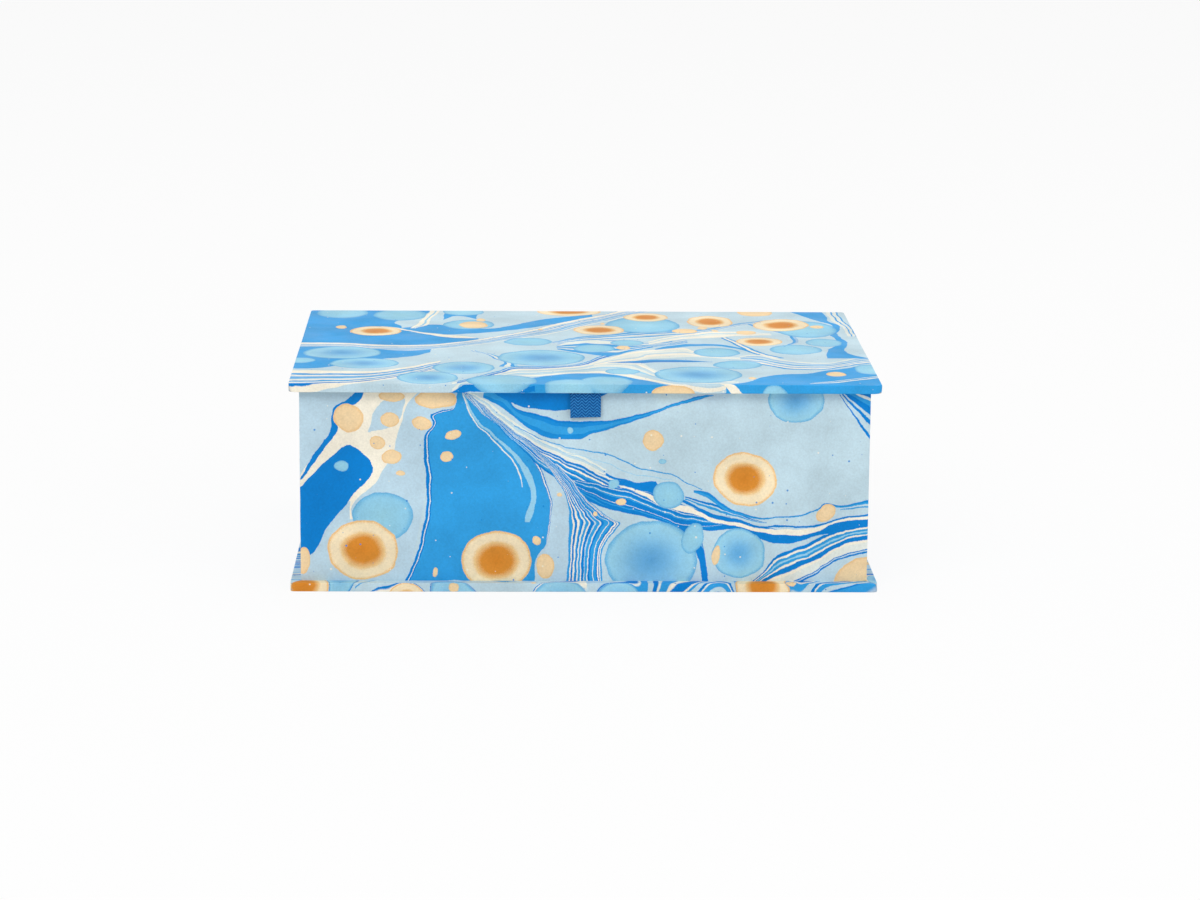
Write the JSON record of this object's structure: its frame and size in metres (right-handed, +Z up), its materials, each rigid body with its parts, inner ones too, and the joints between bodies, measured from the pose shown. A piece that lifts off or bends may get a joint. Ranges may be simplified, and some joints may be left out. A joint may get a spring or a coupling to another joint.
{
  "type": "keepsake box",
  "caption": "Rectangular hinged board box covered with marbled paper, with a flat overhanging lid and base, an inner tray and a folded ribbon pull tab at the front.",
  "frame": {"origin": "middle of the underside of the base, on the surface the box stands on", "axes": "+X along the width (to the right seen from the front), -Y is the front with the ribbon, +Z up"},
  "size_m": [0.232, 0.166, 0.0835],
  "materials": {
    "greyboard": "matt, fibrous",
    "marbled_paper": "matt with a faint sheen, blue and cream stone-marbled pattern",
    "hinge_strip": "matt, the same marbled paper",
    "lining_paper": "matt, laid",
    "ribbon": "woven, fine twill, soft sheen"
  },
  "bodies": {
    "root": {"base_board": "greyboard", "base_cover": "marbled_paper", "spine_board": "greyboard", "spine_cover": "marbled_paper", "spine_hinge_leaf": "hinge_strip", "tray_floor_board": "greyboard", "tray_front_wall": "greyboard", "tray_back_wall": "greyboard", "tray_left_wall": "greyboard", "tray_right_wall": "greyboard", "tray_wrap": "marbled_paper", "tray_wall_lining": "lining_paper", "tray_floor_lining": "lining_paper"},
    "lid": {"lid_board": "greyboard", "lid_cover": "marbled_paper", "lid_hinge_leaf": "hinge_strip", "lid_lining": "lining_paper", "ribbon_tail": "ribbon"},
    "tab": {"ribbon_tab": "ribbon"}
  },
  "joints": [
    {"name": "lid_hinge", "type": "hinge", "parent": "root", "child": "lid", "pos_m": [0, 0.083, 0.08], "axis": [-1, 0, 0], "range_deg": [0, 175]},
    {"name": "tab_hinge", "type": "hinge", "parent": "lid", "child": "tab", "pos_m": [0, -0.0804, 0.07955], "axis": [-1, 0, 0], "range_deg": [0, 90]}
  ]
}
